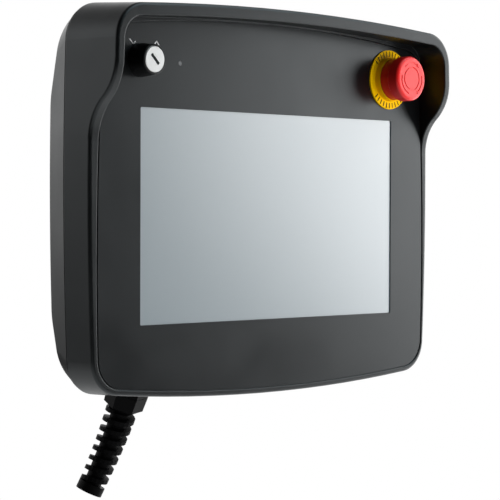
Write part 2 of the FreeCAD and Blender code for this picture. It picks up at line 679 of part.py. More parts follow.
def rear_housing():
    """The tapered rear cover with its wings, raised mount face, screw wells, gland pad and switch opening."""
    wings, middle = rear_forms(0.0)
    wing_rim = edges_where(wings, lambda e: on_rear_rim(e) and not along_x(e))
    wings = wings.makeFillet(REAR_EDGE_ROUND, wing_rim)
    back_rim = edges_where(middle, lambda e: abs(middle_of(e).y - Y_BACK) < NEAR)
    middle = middle.makeFillet(REAR_EDGE_ROUND, back_rim)
    lip = prism(outline(Y_PART, *[PARTING_GROOVE] * 3), PARTING_GROOVE + OVERCUT)
    pad = gland_rod(-REAR_WALL, GLAND_PAD_PROUD, GLAND_PAD_RADIUS)
    hollow_wings, hollow_middle = rear_forms(REAR_WALL)
    shell = wings.multiFuse([middle, lip, pad]).cut(hollow_wings).cut(hollow_middle)
    inner_wings, inner_middle = rear_forms(REAR_WALL / 2)
    inside = inner_wings.fuse(inner_middle)
    insert_floor = Y_BACK - INSERT_LENGTH - INSERT_FLOOR
    posts = [rod(Y_PART, FAR, REAR_BOSS_RADIUS, x, z) for x, z in SCREW_PLACES]
    posts += [rod(insert_floor, FAR, INSERT_BOSS_RADIUS, x, z) for x, z in MOUNT_PLACES]
    shell = shell.multiFuse([p.common(inside) for p in posts])
    holes = []
    for x, z in SCREW_PLACES:
        holes.append(rod(Y_PART - OVERCUT, FAR, SCREW_RADIUS + SCREW_CLEARANCE, x, z))
        holes.append(rod(Y_PART + SCREW_GRIP, FAR, SCREW_HEAD_RADIUS + SCREW_CLEARANCE, x, z))
    for x, z in MOUNT_PLACES:
        holes.append(rod(Y_BACK - INSERT_LENGTH, INSERT_LENGTH + OVERCUT, INSERT_RADIUS, x, z))
    holes.append(enable_form(Y_WING_INSIDE - OVERCUT, REAR_WALL + 2 * OVERCUT,
                             ENABLE_CLEARANCE + ENABLE_BEZEL_WALL))
    holes.append(gland_rod(-GLAND_TAIL, GLAND_PAD_PROUD + OVERCUT, GLAND_HOLE_RADIUS))
    for hole in holes:
        shell = shell.cut(hole)
    return shell


def screw(x, y, z, grip, bite, radius, head_radius, head_height):
    """A pan head screw along Y: its head behind y and its shank in front, with a hexagon socket."""
    brim = head_height * SCREW_BRIM
    crown = head_radius * SCREW_CROWN
    body = lathe([(0, y - grip - bite), (radius, y - grip - bite), (radius, y), (head_radius, y),
                  (head_radius, y + brim), (crown, y + head_height), (0, y + head_height)], x, z)
    drive = hexagon(head_radius * SCREW_SOCKET, vec(x, y + brim, z), BACKWARD, head_height)
    return body.cut(drive)


def housing_screws():
    return group(screw(x, Y_PART + SCREW_GRIP, z, SCREW_GRIP, SCREW_BITE,
                       SCREW_RADIUS, SCREW_HEAD_RADIUS, SCREW_HEAD_HEIGHT) for x, z in SCREW_PLACES)


def small_screws(places, y, grip):
    return group(screw(x, y, z, grip, SMALL_SCREW_BITE,
                       SMALL_SCREW_RADIUS, SMALL_HEAD_RADIUS, SMALL_HEAD_HEIGHT) for x, z in places)


def group(shapes):
    return Part.makeCompound(list(shapes))


def front_overlay():
    """The printed film in the rim's pocket, with the screen window and holes for what passes through."""
    film = prism(outline(Y_OVERLAY, RIM_SIDE + OVERLAY_GAP, RIM_TOP + OVERLAY_GAP, RIM_BOTTOM + OVERLAY_GAP,
                         OVERLAY_TOP_CORNER, FILM_BOTTOM_CORNER,
                         top_radius=FILM_TOP_RADIUS, **FILM_SIDES), OVERLAY_THICKNESS)
    film = film.cut(plate(Y_OVERLAY - OVERCUT, OVERLAY_THICKNESS + 2 * OVERCUT,
                          SCREEN_WIDTH, SCREEN_HEIGHT, WINDOW_CORNER))
    for x, radius in ((STOP_X, STOP_SEAL_RADIUS), (KEY_X, KEY_SEAL_RADIUS), (LIGHT_X, LIGHT_RADIUS)):
        film = film.cut(through(Y_OVERLAY, OVERLAY_THICKNESS, radius + LIGHT_CLEARANCE, x, SWITCH_Z))
    return film


def screen_plate(y, depth, margin, radius):
    return plate(y, depth, SCREEN_WIDTH + 2 * margin, SCREEN_HEIGHT + 2 * margin, radius)


def touch_panel():
    return screen_plate(Y_SEAT, TOUCH_THICKNESS, TOUCH_MARGIN, TOUCH_CORNER)


def display_gasket():
    outer = screen_plate(Y_TOUCH_BACK, GASKET_THICKNESS, GASKET_GAP + GASKET_WIDTH, TOUCH_CORNER)
    hole = screen_plate(Y_TOUCH_BACK - OVERCUT, GASKET_THICKNESS + 2 * OVERCUT, GASKET_GAP, TOUCH_CORNER)
    return outer.cut(hole)


def lcd_panel():
    return screen_plate(Y_LCD, LCD_THICKNESS, LCD_MARGIN, LCD_CORNER)


def lcd_frame():
    depth = Y_BRACKET - Y_LCD
    inside = LCD_MARGIN + LCD_FRAME_CLEARANCE
    outer = screen_plate(Y_LCD, depth, inside + LCD_FRAME_WALL, LCD_CORNER + LCD_FRAME_WALL)
    return outer.cut(screen_plate(Y_LCD - OVERCUT, depth + 2 * OVERCUT, inside, LCD_CORNER))


def backlight_tray():
    return screen_plate(Y_BACKLIGHT, BACKLIGHT_THICKNESS, LCD_MARGIN, LCD_CORNER)


def display_bracket():
    """The steel plate that holds the display in and carries the board, with a slot for the ribbon."""
    sheet = plate(Y_BRACKET, BRACKET_THICKNESS, 2 * (BRACKET_SCREW_X + BRACKET_EDGE),
                  SCREEN_HEIGHT + 2 * BRACKET_MARGIN_Z, BRACKET_EDGE)
    radius = SMALL_SCREW_RADIUS + SMALL_SCREW_CLEARANCE
    holes = [through(Y_BRACKET, BRACKET_THICKNESS, radius, x, z) for x, z in BRACKET_PLACES]
    holes.append(block(Y_BRACKET - OVERCUT, BRACKET_THICKNESS + 2 * OVERCUT, FLEX_WIDTH + 2 * FLEX_SLOT_GAP,
                       FLEX_THICKNESS + 2 * FLEX_SLOT_GAP, FLEX_X, FLEX_Z))
    return sheet.cut(group(holes))


def main_board():
    board = plate(Y_BOARD, BOARD_THICKNESS, BOARD_WIDTH, BOARD_HEIGHT, BOARD_CORNER)
    radius = SMALL_SCREW_RADIUS + SMALL_SCREW_CLEARANCE
    return board.cut(group(through(Y_BOARD, BOARD_THICKNESS, radius, x, z) for x, z in BOARD_PLACES))


def board_standoffs():
    return group(tube(Y_BRACKET_BACK, STANDOFF_HEIGHT, STANDOFF_RADIUS, SMALL_SCREW_RADIUS, x, z)
                 for x, z in BOARD_PLACES)


def processor():
    return block(Y_BOARD_BACK, CHIP_THICKNESS, CHIP_SIZE, CHIP_SIZE, SINK_X, SINK_Z)


def heat_sink():
    """The finned cooler on the processor."""
    y = Y_BOARD_BACK + CHIP_THICKNESS
    base = block(y, SINK_BASE, SINK_WIDTH, SINK_HEIGHT, SINK_X, SINK_Z)
    pitch = (SINK_WIDTH - SINK_FIN) / (SINK_FINS - 1)
    first = SINK_X - (SINK_WIDTH - SINK_FIN) / 2
    fins = [block(y, SINK_BASE + SINK_FIN_TALL, SINK_FIN, SINK_HEIGHT, first + i * pitch, SINK_Z)
            for i in range(SINK_FINS)]
    return base.multiFuse(fins)


def capacitors():
    rows = [CAPACITOR_Z - i * CAPACITOR_PITCH for i in range(CAPACITOR_COUNT)]
    return group(rod(Y_BOARD_BACK, CAPACITOR_TALL, CAPACITOR_RADIUS, CAPACITOR_X, z) for z in rows)


def terminal_block():
    """The row of screw terminals where the cable's cores end."""
    body = block(Y_BOARD_BACK, TERMINAL_TALL, TERMINAL_WIDTH, TERMINAL_DEPTH, TERMINAL_X, TERMINAL_Z)
    screw_floor = Y_BOARD_BACK + TERMINAL_TALL - TERMINAL_SCREW_DEPTH
    wire_y, wire_z = Y_BOARD_BACK + TERMINAL_TALL / 3, TERMINAL_Z - TERMINAL_DEPTH / 2 - OVERCUT
    holes = []
    for i in range(TERMINAL_POLES):
        x = TERMINAL_X - TERMINAL_WIDTH / 2 + (i + 1 / 2) * TERMINAL_PITCH
        holes.append(rod(screw_floor, FAR, TERMINAL_SCREW_RADIUS, x, TERMINAL_Z))
        holes.append(Part.makeCylinder(TERMINAL_SCREW_RADIUS, TERMINAL_DEPTH / 2, vec(x, wire_y, wire_z)))
    return body.cut(group(holes))


def cell_holder():
    radius = CELL_RADIUS + CELL_CLEARANCE
    cup = rod(Y_BOARD_BACK, CELL_HOLDER_FLOOR + CELL_HOLDER_LIP, radius + CELL_HOLDER_WALL, CELL_X, CELL_Z)
    return cup.cut(rod(Y_BOARD_BACK + CELL_HOLDER_FLOOR, FAR, radius, CELL_X, CELL_Z))


def coin_cell():
    return rod(Y_BOARD_BACK + CELL_HOLDER_FLOOR, CELL_THICKNESS, CELL_RADIUS, CELL_X, CELL_Z)


def board_plugs():
    """The plug headers for the switches and the display, in a row with open tops."""
    headers, x = [], PLUG_X
    for width in PLUG_WIDTHS:
        body = block(Y_BOARD_BACK, PLUG_TALL, width, PLUG_DEPTH, x + width / 2, PLUG_Z)
        well = block(Y_BOARD_BACK + PLUG_WALL, FAR, width - 2 * PLUG_WALL, PLUG_DEPTH - 2 * PLUG_WALL,
                     x + width / 2, PLUG_Z)
        headers.append(body.cut(well))
        x += width + PLUG_GAP
    return group(headers)


def display_flex():
    """The display's ribbon, from the back of the backlight through the bracket to the board."""
    return block(Y_BRACKET, Y_BOARD - Y_BRACKET, FLEX_WIDTH, FLEX_THICKNESS, FLEX_X, FLEX_Z)


def status_light():
    pin = rod(Y_OVERLAY, Y_INSIDE - Y_OVERLAY + LIGHT_FLANGE_THICKNESS, LIGHT_RADIUS, LIGHT_X, SWITCH_Z)
    return pin.fuse(rod(Y_INSIDE, LIGHT_FLANGE_THICKNESS, LIGHT_FLANGE_RADIUS, LIGHT_X, SWITCH_Z))


def mount_inserts():
    return group(tube(Y_BACK - INSERT_LENGTH, INSERT_LENGTH, INSERT_RADIUS, INSERT_BORE, x, z)
                 for x, z in MOUNT_PLACES)


def ahead(height):
    """The Y of a height above the front film, counted towards the operator."""
    return Y_OVERLAY - height


BARREL_END = -(OVERLAY_THICKNESS + FRONT_WALL + BARREL_BEHIND_WALL)


def panel_nut(x):
    nut = hexagon(NUT_FLATS, vec(x, Y_INSIDE, SWITCH_Z), BACKWARD, NUT_THICKNESS)
    return nut.cut(through(Y_INSIDE, NUT_THICKNESS, BARREL_RADIUS + NUT_CLEARANCE, x, SWITCH_Z))


def contact_block(x, well_radius):
    """A snap-on contact block behind a switch's barrel, with a well for what the switch pushes or turns."""
    y = ahead(BARREL_END)
    body = plate(y, CONTACT_LENGTH, CONTACT_WIDTH, CONTACT_HEIGHT, CONTACT_ROUND, x, SWITCH_Z)
    body = body.cut(rod(y - OVERCUT, CONTACT_WELL + OVERCUT, well_radius, x, SWITCH_Z))
    side, up = CONTACT_WIDTH / 4, CONTACT_HEIGHT / 4
    places = [(x + sx * side, SWITCH_Z + sz * up) for sx in (-1, 1) for sz in (-1, 1)]
    pins = [block(y + CONTACT_LENGTH, CONTACT_PIN_LENGTH, CONTACT_PIN_WIDTH, CONTACT_PIN_THICKNESS, px, pz)
            for px, pz in places]
    return body.multiFuse(pins)


def estop_legend_ring():
    return tube(ahead(LEGEND_THICKNESS), LEGEND_THICKNESS, LEGEND_RADIUS, PANEL_HOLE_RADIUS, STOP_X, SWITCH_Z)


def estop_collar():
    top = LEGEND_THICKNESS + COLLAR_HEIGHT
    ring = tube(ahead(top), COLLAR_HEIGHT, COLLAR_RADIUS, COLLAR_BORE, STOP_X, SWITCH_Z)
    return ring.makeChamfer(COLLAR_CHAMFER, front_circles(ring, top))


def switch_lathe(x, profile):
    """A turned piece of a front switch, from (radius, height above the front film) points."""
    return lathe([(radius, ahead(height)) for radius, height in profile], x, SWITCH_Z)


def front_circles(shape, height):
    """The full circles of a front switch's piece at a height above the front film."""
    return edges_where(shape, lambda e: len(e.Vertexes) == 1 and abs(middle_of(e).y - ahead(height)) < NEAR)


def estop_barrel():
    flange = LEGEND_THICKNESS
    top = flange + STOP_FLANGE_THICKNESS
    return switch_lathe(STOP_X, [
        (STOP_BORE, BARREL_END), (BARREL_RADIUS, BARREL_END), (BARREL_RADIUS, flange),
        (STOP_FLANGE_RADIUS, flange), (STOP_FLANGE_RADIUS, top), (BARREL_RADIUS, top),
        (BARREL_RADIUS, STOP_BARREL_TOP), (STOP_BORE, STOP_BARREL_TOP)])


def estop_seal():
    return tube(Y_OVERLAY, OVERLAY_THICKNESS, STOP_SEAL_RADIUS, PANEL_HOLE_RADIUS, STOP_X, SWITCH_Z)


# Heights of the emergency stop's moving pieces above the front film
STOP_ROOM = STOP_TRAVEL + STOP_TRAVEL_GAP
STOP_SKIRT_END = LEGEND_THICKNESS + STOP_ROOM
STOP_HUB_END = STOP_BARREL_TOP + STOP_ROOM
STOP_FLANGE_BACK = STOP_HEAD_TOP - STOP_HEAD_FLANGE
STOP_ROOF = STOP_FLANGE_BACK - STOP_SKIRT_WALL / 2
STOP_PIN_TOP = STOP_HUB_END + STOP_PIN_LENGTH

# Heights of the key switch's core above the front film
KEY_FACE = KEY_HEIGHT + KEY_FACE_PROUD
KEY_SHOULDER = KEY_FACE - KEY_FACE_DEPTH


def estop_plunger():
    stem = STOP_BORE - STOP_STEM_CLEARANCE
    return switch_lathe(STOP_X, [
        (0, BARREL_END), (stem, BARREL_END), (stem, STOP_HUB_END),
        (STOP_PIN_RADIUS, STOP_HUB_END), (STOP_PIN_RADIUS, STOP_PIN_TOP), (0, STOP_PIN_TOP)])


def estop_head():
    """The red mushroom head: a skirt that dips into the collar, a wide face, and the moulded reset arrows."""
    bore = STOP_PIN_RADIUS + STOP_PIN_CLEARANCE
    step = STOP_HEAD_RADIUS - STOP_SKIRT_RADIUS
    inner = STOP_SKIRT_RADIUS - STOP_SKIRT_WALL
    head = switch_lathe(STOP_X, [
        (bore, STOP_HUB_END), (STOP_HUB_RADIUS, STOP_HUB_END), (STOP_HUB_RADIUS, STOP_ROOF),
        (inner, STOP_ROOF), (inner, STOP_SKIRT_END), (STOP_SKIRT_RADIUS, STOP_SKIRT_END),
        (STOP_SKIRT_RADIUS, STOP_FLANGE_BACK - step), (STOP_HEAD_RADIUS, STOP_FLANGE_BACK),
        (STOP_HEAD_RADIUS, STOP_HEAD_TOP), (0, STOP_HEAD_TOP), (0, STOP_PIN_TOP), (bore, STOP_PIN_TOP)])
    head = head.makeFillet(STOP_HEAD_ROUND, front_circles(head, STOP_HEAD_TOP))
    y = ahead(STOP_HEAD_TOP) - OVERCUT
    half = STOP_GROOVE_WIDTH / 2
    depth = STOP_GROOVE_DEPTH + OVERCUT
    cuts = [tube(y, depth, STOP_RING_RADIUS + half, STOP_RING_RADIUS - half, STOP_X, SWITCH_Z)]
    for i in range(STOP_ARROWS):
        cuts += arrow(y, depth, 360.0 / STOP_ARROWS * i + STOP_ARROW_START_DEG)
    return head.cut(group(cuts))


def arrow(y, depth, start):
    """A curved reset arrow: part of a ring groove with a barbed tip that points clockwise from in front."""
    def spot(radius, angle):
        return vec(STOP_X + radius * math.cos(angle), y, SWITCH_Z + radius * math.sin(angle))

    half = STOP_GROOVE_WIDTH / 2
    ring = tube(y, depth, STOP_ARROW_RADIUS + half, STOP_ARROW_RADIUS - half, STOP_X, SWITCH_Z)
    angles = [math.radians(start - STOP_ARROW_SWEEP_DEG * i / 4) for i in range(5)]
    fan = [spot(0, 0)] + [spot(2 * STOP_ARROW_RADIUS, a) for a in angles]
    shaft = ring.common(prism(Part.makePolygon(fan + fan[:1]), depth))
    tip, barb = angles[-1], STOP_ARROW_BARB / 2
    lead = STOP_ARROW_POINT / STOP_ARROW_RADIUS
    corners = [spot(STOP_ARROW_RADIUS - barb, tip), spot(STOP_ARROW_RADIUS + barb, tip),
               spot(STOP_ARROW_RADIUS, tip - lead)]
    return [shaft, prism(Part.makePolygon(corners + corners[:1]), depth)]


def key_barrel():
    """The key switch's barrel: a round bezel in front of the panel, a threaded body behind it."""
    wide = KEY_FACE_RADIUS + KEY_ROTOR_CLEARANCE
    slim = KEY_STEM_RADIUS + KEY_ROTOR_CLEARANCE
    barrel = switch_lathe(KEY_X, [
        (slim, BARREL_END), (BARREL_RADIUS, BARREL_END), (BARREL_RADIUS, 0),
        (KEY_FLANGE_RADIUS, 0), (KEY_FLANGE_RADIUS, KEY_FLANGE_THICKNESS), (KEY_BARREL_RADIUS, KEY_HEIGHT),
        (wide, KEY_HEIGHT), (wide, KEY_SHOULDER), (slim, KEY_SHOULDER)])
    rim = max(front_circles(barrel, KEY_HEIGHT), key=lambda e: e.Length)
    return barrel.makeChamfer(KEY_RIM_CHAMFER, [rim])


def key_rotor():
    """The turning core of the key switch with its key slot, at rest towards the upper left mark."""
    end = BARREL_END - CONTACT_WELL / 2
    core = switch_lathe(KEY_X, [
        (0, end), (KEY_STEM_RADIUS, end), (KEY_STEM_RADIUS, KEY_SHOULDER), (KEY_FACE_RADIUS, KEY_SHOULDER),
        (KEY_FACE_RADIUS, KEY_FACE - KEY_FACE_CHAMFER), (KEY_FACE_RADIUS - KEY_FACE_CHAMFER, KEY_FACE),
        (0, KEY_FACE)])
    slot = block(ahead(KEY_FACE) - OVERCUT, KEY_SLOT_DEPTH + OVERCUT, KEY_SLOT_WIDTH, KEY_SLOT_LENGTH,
                 KEY_X, SWITCH_Z)
    slot.rotate(vec(KEY_X, 0, SWITCH_Z), FORWARD, KEY_REST_DEG)
    return core.cut(slot)


def key_seal():
    return tube(Y_OVERLAY, OVERLAY_THICKNESS, KEY_SEAL_RADIUS, PANEL_HOLE_RADIUS, KEY_X, SWITCH_Z)


def enable_form(y, depth, grow):
    """The enabling switch's long rounded outline on the left wing, grown or shrunk all round."""
    radius = ENABLE_WIDTH / 3 + grow
    return plate(y, depth, ENABLE_WIDTH + 2 * grow, ENABLE_LENGTH + 2 * grow, radius, ENABLE_X, ENABLE_Z)


ENABLE_ROOM = ENABLE_FLANGE_GAP + ENABLE_FLANGE_THICKNESS + ENABLE_TRAVEL + ENABLE_TRAVEL_ROOM


def enable_bezel():
    """The collar that guards the paddle: a sleeve through the wing and a flange on it."""
    body = ENABLE_CLEARANCE + ENABLE_BEZEL_WALL - ENABLE_SEAT_GAP
    sleeve = enable_form(Y_WING_INSIDE, REAR_WALL + ENABLE_BEZEL_PROUD, body)
    flange = enable_form(Y_WING, ENABLE_BEZEL_PROUD, body + ENABLE_BEZEL_LIP)
    rim = edges_where(flange, lambda e: abs(middle_of(e).y - Y_WING - ENABLE_BEZEL_PROUD) < NEAR)
    flange = flange.makeChamfer(ENABLE_BEZEL_PROUD / 2, rim)
    return sleeve.fuse(flange).cut(enable_form(Y_WING_INSIDE - OVERCUT, FAR, ENABLE_CLEARANCE))


def enable_paddle():
    """The paddle under the fingers: a crowned bar with a flange that keeps it behind the bezel."""
    y = Y_WING_INSIDE - ENABLE_FLANGE_GAP
    bar = enable_form(y - ENABLE_FLANGE_THICKNESS, Y_WING + ENABLE_PROUD - y + ENABLE_FLANGE_THICKNESS, 0.0)
    crown = edges_where(bar, lambda e: abs(middle_of(e).y - Y_WING - ENABLE_PROUD) < NEAR)
    bar = bar.makeFillet(ENABLE_CROWN, crown)
    return bar.fuse(enable_form(y - ENABLE_FLANGE_THICKNESS, ENABLE_FLANGE_THICKNESS, ENABLE_FLANGE))


def enable_module():
    """The switch module behind the wing: a cup that the paddle's flange travels in."""
    room = ENABLE_FLANGE + ENABLE_CLEARANCE
    floor = Y_WING_INSIDE - ENABLE_ROOM
    depth = ENABLE_ROOM + ENABLE_MODULE_FLOOR
    cup = enable_form(floor - ENABLE_MODULE_FLOOR, depth, room + ENABLE_MODULE_WALL)
    return cup.cut(enable_form(floor, FAR, room))


# Stations of the gland along its axis, counted outwards from the rear cover's wall
GLAND_SEAT = GLAND_PAD_PROUD + GLAND_WASHER
GLAND_FLANGE_END = GLAND_SEAT + GLAND_FLANGE
GLAND_STUB_END = GLAND_FLANGE_END + GLAND_STUB
GLAND_NUT_START = GLAND_FLANGE_END + GLAND_NUT_GAP
GLAND_NUT_END = GLAND_NUT_START + GLAND_NUT
GLAND_DOME_END = GLAND_NUT_END + GLAND_DOME


def gland_rod(start, end, radius, end_radius=None):
    seat, out = gland_frame()
    if end_radius is None:
        return Part.makeCylinder(radius, end - start, seat + out * start, out)
    return Part.makeCone(radius, end_radius, end - start, seat + out * start, out)


def gland_bore(start, end, radius):
    """A round cutter along the gland that runs past both faces of what it cuts."""
    return gland_rod(start - OVERCUT, end + OVERCUT, radius)


def gland_hexagon(start, end, flats, end_flats=None):
    seat, out = gland_frame()
    return hexagon(flats, seat + out * start, out, end - start, end_flats)


def gland_washer():
    ring = gland_rod(GLAND_PAD_PROUD, GLAND_SEAT, GLAND_FLATS / 2)
    return ring.cut(gland_bore(GLAND_PAD_PROUD, GLAND_SEAT, GLAND_HOLE_RADIUS))


def gland_body():
    body = gland_hexagon(GLAND_SEAT, GLAND_FLANGE_END, GLAND_FLATS)
    body = body.multiFuse([gland_rod(GLAND_FLANGE_END, GLAND_STUB_END, GLAND_STUB_RADIUS),
                           gland_rod(-GLAND_TAIL, GLAND_SEAT, GLAND_THREAD_RADIUS)])
    return body.cut(gland_bore(-GLAND_TAIL, GLAND_STUB_END, GLAND_BORE))


def gland_locknut():
    inside = -REAR_WALL - GLAND_LOCK_GAP
    nut = gland_hexagon(inside - NUT_THICKNESS, inside, GLAND_FLATS)
    return nut.cut(gland_bore(inside - NUT_THICKNESS, inside, GLAND_THREAD_RADIUS + NUT_CLEARANCE))


def gland_grommet():
    """The rubber ring that grips the cable inside the gland's stub."""
    ring = gland_rod(GLAND_SEAT, GLAND_STUB_END, GLAND_BORE - NUT_CLEARANCE)
    return ring.cut(gland_bore(GLAND_SEAT, GLAND_STUB_END, CABLE_BORE))


def guard_path():
    """The bend guard's arc from the nut's axis to its end direction, as a function of the length along it."""
    seat, out = gland_frame()
    start = seat + out * GLAND_NUT_END
    end = vec(GUARD_END_LEAN_X, GUARD_END_LEAN_Y, -1).normalize()
    turn = math.acos(out.dot(end))
    side = (end - out * out.dot(end)).normalize()
    radius = GUARD_LENGTH / turn
    axis = out.cross(side)

    def at(length):
        angle = min(max(length, 0.0), GUARD_LENGTH) / radius
        along = out * math.cos(angle) + side * math.sin(angle)
        across = side * math.cos(angle) - out * math.sin(angle)
        point = start + out * (radius * math.sin(angle)) + side * (radius * (1 - math.cos(angle)))
        past = length - min(max(length, 0.0), GUARD_LENGTH)
        return point + along * past, along, across

    return at, axis, start + side * radius, math.degrees(turn)


def guard_circle(at, axis, length, radius):
    point, along, across = at(length)
    circle = Part.Circle(point + across * radius, point + axis * radius, point - across * radius)
    return Part.Wire([circle.toShape()])


def guard_radius(length, start, end):
    return start + (end - start) * length / GUARD_LENGTH


def gland_spiral_nut():
    """The gland's dome nut, which runs out into a bend guard: a tapered core, a helical rib and a cuff."""
    at, axis, centre, turn = guard_path()
    nut = gland_hexagon(GLAND_NUT_START, GLAND_NUT_END, GLAND_FLATS, GLAND_NUT_TOP_FLATS)
    dome = gland_rod(GLAND_NUT_END, GLAND_DOME_END, GLAND_NUT_TOP_FLATS / 2, GUARD_CORE_START)
    stations = [GUARD_LENGTH * i / 6 for i in range(7)]
    core = Part.makeLoft([guard_circle(at, axis, s, guard_radius(s, GUARD_CORE_START, GUARD_CORE_END))
                          for s in stations], True, False)
    sections = []
    steps = round(GUARD_TURNS * GUARD_STEPS_PER_TURN)
    rib_start, rib_end = GUARD_RIB_FROM, GUARD_LENGTH
    root, crest = GUARD_RIB_ROOT / 2, GUARD_RIB_TIP / 2
    for i in range(steps + 1):
        s = rib_start + (rib_end - rib_start) * i / steps
        point, along, across = at(s)
        angle = 2 * math.pi * i / GUARD_STEPS_PER_TURN
        radial = across * math.cos(angle) + axis * math.sin(angle)
        foot = guard_radius(s, GUARD_CORE_START, GUARD_CORE_END) - GUARD_RIB_SINK
        tip = guard_radius(s, GUARD_RIB_START, GUARD_RIB_END)
        profile = ((foot, -root), (tip, -crest), (tip, crest), (foot, root))
        corners = [point + radial * r + along * h for r, h in profile]
        sections.append(Part.makePolygon(corners + corners[:1]))
    rib = loft(*sections)
    end_point, end_along, end_across = at(GUARD_LENGTH)
    cuff = Part.makeCylinder(GUARD_RIB_END, GUARD_CUFF, end_point, end_along)
    body = nut.multiFuse([dome, core, rib, cuff])
    stub_room = GLAND_STUB_END + GLAND_NUT_GAP
    bores = [gland_rod(GLAND_NUT_START - OVERCUT, stub_room, GLAND_STUB_RADIUS + GLAND_THREAD_GAP),
             gland_rod(GLAND_NUT_START, GLAND_NUT_END, CABLE_BORE),
             Part.Face(guard_circle(at, axis, 0.0, CABLE_BORE)).revolve(centre, axis, turn),
             Part.makeCylinder(CABLE_BORE, GUARD_CUFF + OVERCUT, end_point, end_along)]
    for bore in bores:
        body = body.cut(bore)
    return body


PIECES = {
    "front_housing": front_housing,
    "rear_housing": rear_housing,
    "housing_seal": housing_seal,
    "housing_screws": housing_screws,
    "front_overlay": front_overlay,
    "touch_panel": touch_panel,
    "display_gasket": display_gasket,
    "lcd_panel": lcd_panel,
    "lcd_frame": lcd_frame,
    "backlight_tray": backlight_tray,
    "display_bracket": display_bracket,
    "bracket_screws": lambda: small_screws(BRACKET_PLACES, Y_BRACKET_BACK, BRACKET_THICKNESS),
    "main_board": main_board,
    "board_standoffs": board_standoffs,
    "board_screws": lambda: small_screws(BOARD_PLACES, Y_BOARD_BACK, BOARD_THICKNESS),
    "processor": processor,
    "heat_sink": heat_sink,
    "capacitors": capacitors,
    "terminal_block": terminal_block,
    "cell_holder": cell_holder,
    "coin_cell": coin_cell,
    "board_plugs": board_plugs,
    "display_flex": display_flex,
    "status_light": status_light,
    "mount_inserts": mount_inserts,
    "estop_legend_ring": estop_legend_ring,
    "estop_collar": estop_collar,
    "estop_barrel": estop_barrel,
    "estop_seal": estop_seal,
    "estop_locknut": lambda: panel_nut(STOP_X),
    "estop_contact_block": lambda: contact_block(STOP_X, STOP_BORE),
    "estop_plunger": estop_plunger,
    "estop_head": estop_head,
    "key_barrel": key_barrel,
    "key_rotor": key_rotor,
    "key_seal": key_seal,
    "key_locknut": lambda: panel_nut(KEY_X),
    "key_contact_block": lambda: contact_block(KEY_X, KEY_STEM_RADIUS + KEY_ROTOR_CLEARANCE),
    "enable_bezel": enable_bezel,
    "enable_paddle": enable_paddle,
    "enable_module": enable_module,
    "gland_washer": gland_washer,
    "gland_body": gland_body,
    "gland_locknut": gland_locknut,
    "gland_grommet": gland_grommet,
    "gland_spiral_nut": gland_spiral_nut,
}

os.makedirs("parts", exist_ok=True)
for name, make in PIECES.items():
    shape = make()
    Part.makeCompound(shape.Solids).exportStep(f"parts/{name}.step")
    state = "valid" if shape.isValid() else "not valid"
    print(name, len(shape.Solids), "solids", round(shape.Volume), "mm3", state)
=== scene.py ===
"""Looks of a hooded touch screen operator panel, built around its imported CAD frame.

The sections follow the panel as it is put together: the two mouldings, their seals, screws and inserts, the
circuit board, the display, the printed film, the emergency stop, the key switch, the enabling switch and the
cable gland, and last the studio in which it is shown. Metres, X right, Y to the back, Z up.
"""

import json
import math

import bmesh
import bpy
from mathutils import Matrix, Quaternion, Vector

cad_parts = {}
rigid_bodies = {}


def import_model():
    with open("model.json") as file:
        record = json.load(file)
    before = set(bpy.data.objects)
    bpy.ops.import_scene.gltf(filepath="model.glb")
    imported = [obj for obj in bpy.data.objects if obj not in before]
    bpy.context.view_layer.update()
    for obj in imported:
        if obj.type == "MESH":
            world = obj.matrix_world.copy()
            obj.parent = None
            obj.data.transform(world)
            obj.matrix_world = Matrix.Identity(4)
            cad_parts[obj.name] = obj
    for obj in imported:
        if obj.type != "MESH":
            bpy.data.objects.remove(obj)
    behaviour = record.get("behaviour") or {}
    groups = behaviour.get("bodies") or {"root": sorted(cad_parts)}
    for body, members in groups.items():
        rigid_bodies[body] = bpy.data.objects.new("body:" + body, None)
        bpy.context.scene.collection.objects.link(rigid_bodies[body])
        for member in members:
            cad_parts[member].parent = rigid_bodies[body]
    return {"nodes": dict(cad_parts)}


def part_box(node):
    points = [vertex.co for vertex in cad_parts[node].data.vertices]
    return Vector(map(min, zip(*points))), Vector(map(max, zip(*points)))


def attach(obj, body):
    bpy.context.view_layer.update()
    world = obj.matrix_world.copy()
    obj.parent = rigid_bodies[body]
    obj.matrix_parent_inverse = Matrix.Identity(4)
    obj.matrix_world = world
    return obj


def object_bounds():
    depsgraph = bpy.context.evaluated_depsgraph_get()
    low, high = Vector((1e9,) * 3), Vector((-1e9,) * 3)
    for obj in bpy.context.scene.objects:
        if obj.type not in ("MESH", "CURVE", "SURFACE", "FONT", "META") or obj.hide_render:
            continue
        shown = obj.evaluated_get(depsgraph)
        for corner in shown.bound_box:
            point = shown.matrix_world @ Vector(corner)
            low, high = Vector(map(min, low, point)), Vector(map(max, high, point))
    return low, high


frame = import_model()
cad_low, cad_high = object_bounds()
nodes = frame["nodes"]

# Front housing and rear cover: two injection mouldings of dark grey plastic with a fine eroded grain.
# They meet in a seal groove and are pulled together from behind, so no fastener shows on the front.


def shader_group(name, inputs, outputs):
    """An empty node group with named sockets, and its two end nodes. All that it puts out are values."""
    group = bpy.data.node_groups.new(name, "ShaderNodeTree")
    for label, kind, default in inputs:
        socket = group.interface.new_socket(name=label, in_out="INPUT", socket_type=kind)
        socket.default_value = default
    for label in outputs:
        group.interface.new_socket(name=label, in_out="OUTPUT", socket_type="NodeSocketFloat")
    return group, group.nodes.new("NodeGroupInput"), group.nodes.new("NodeGroupOutput")


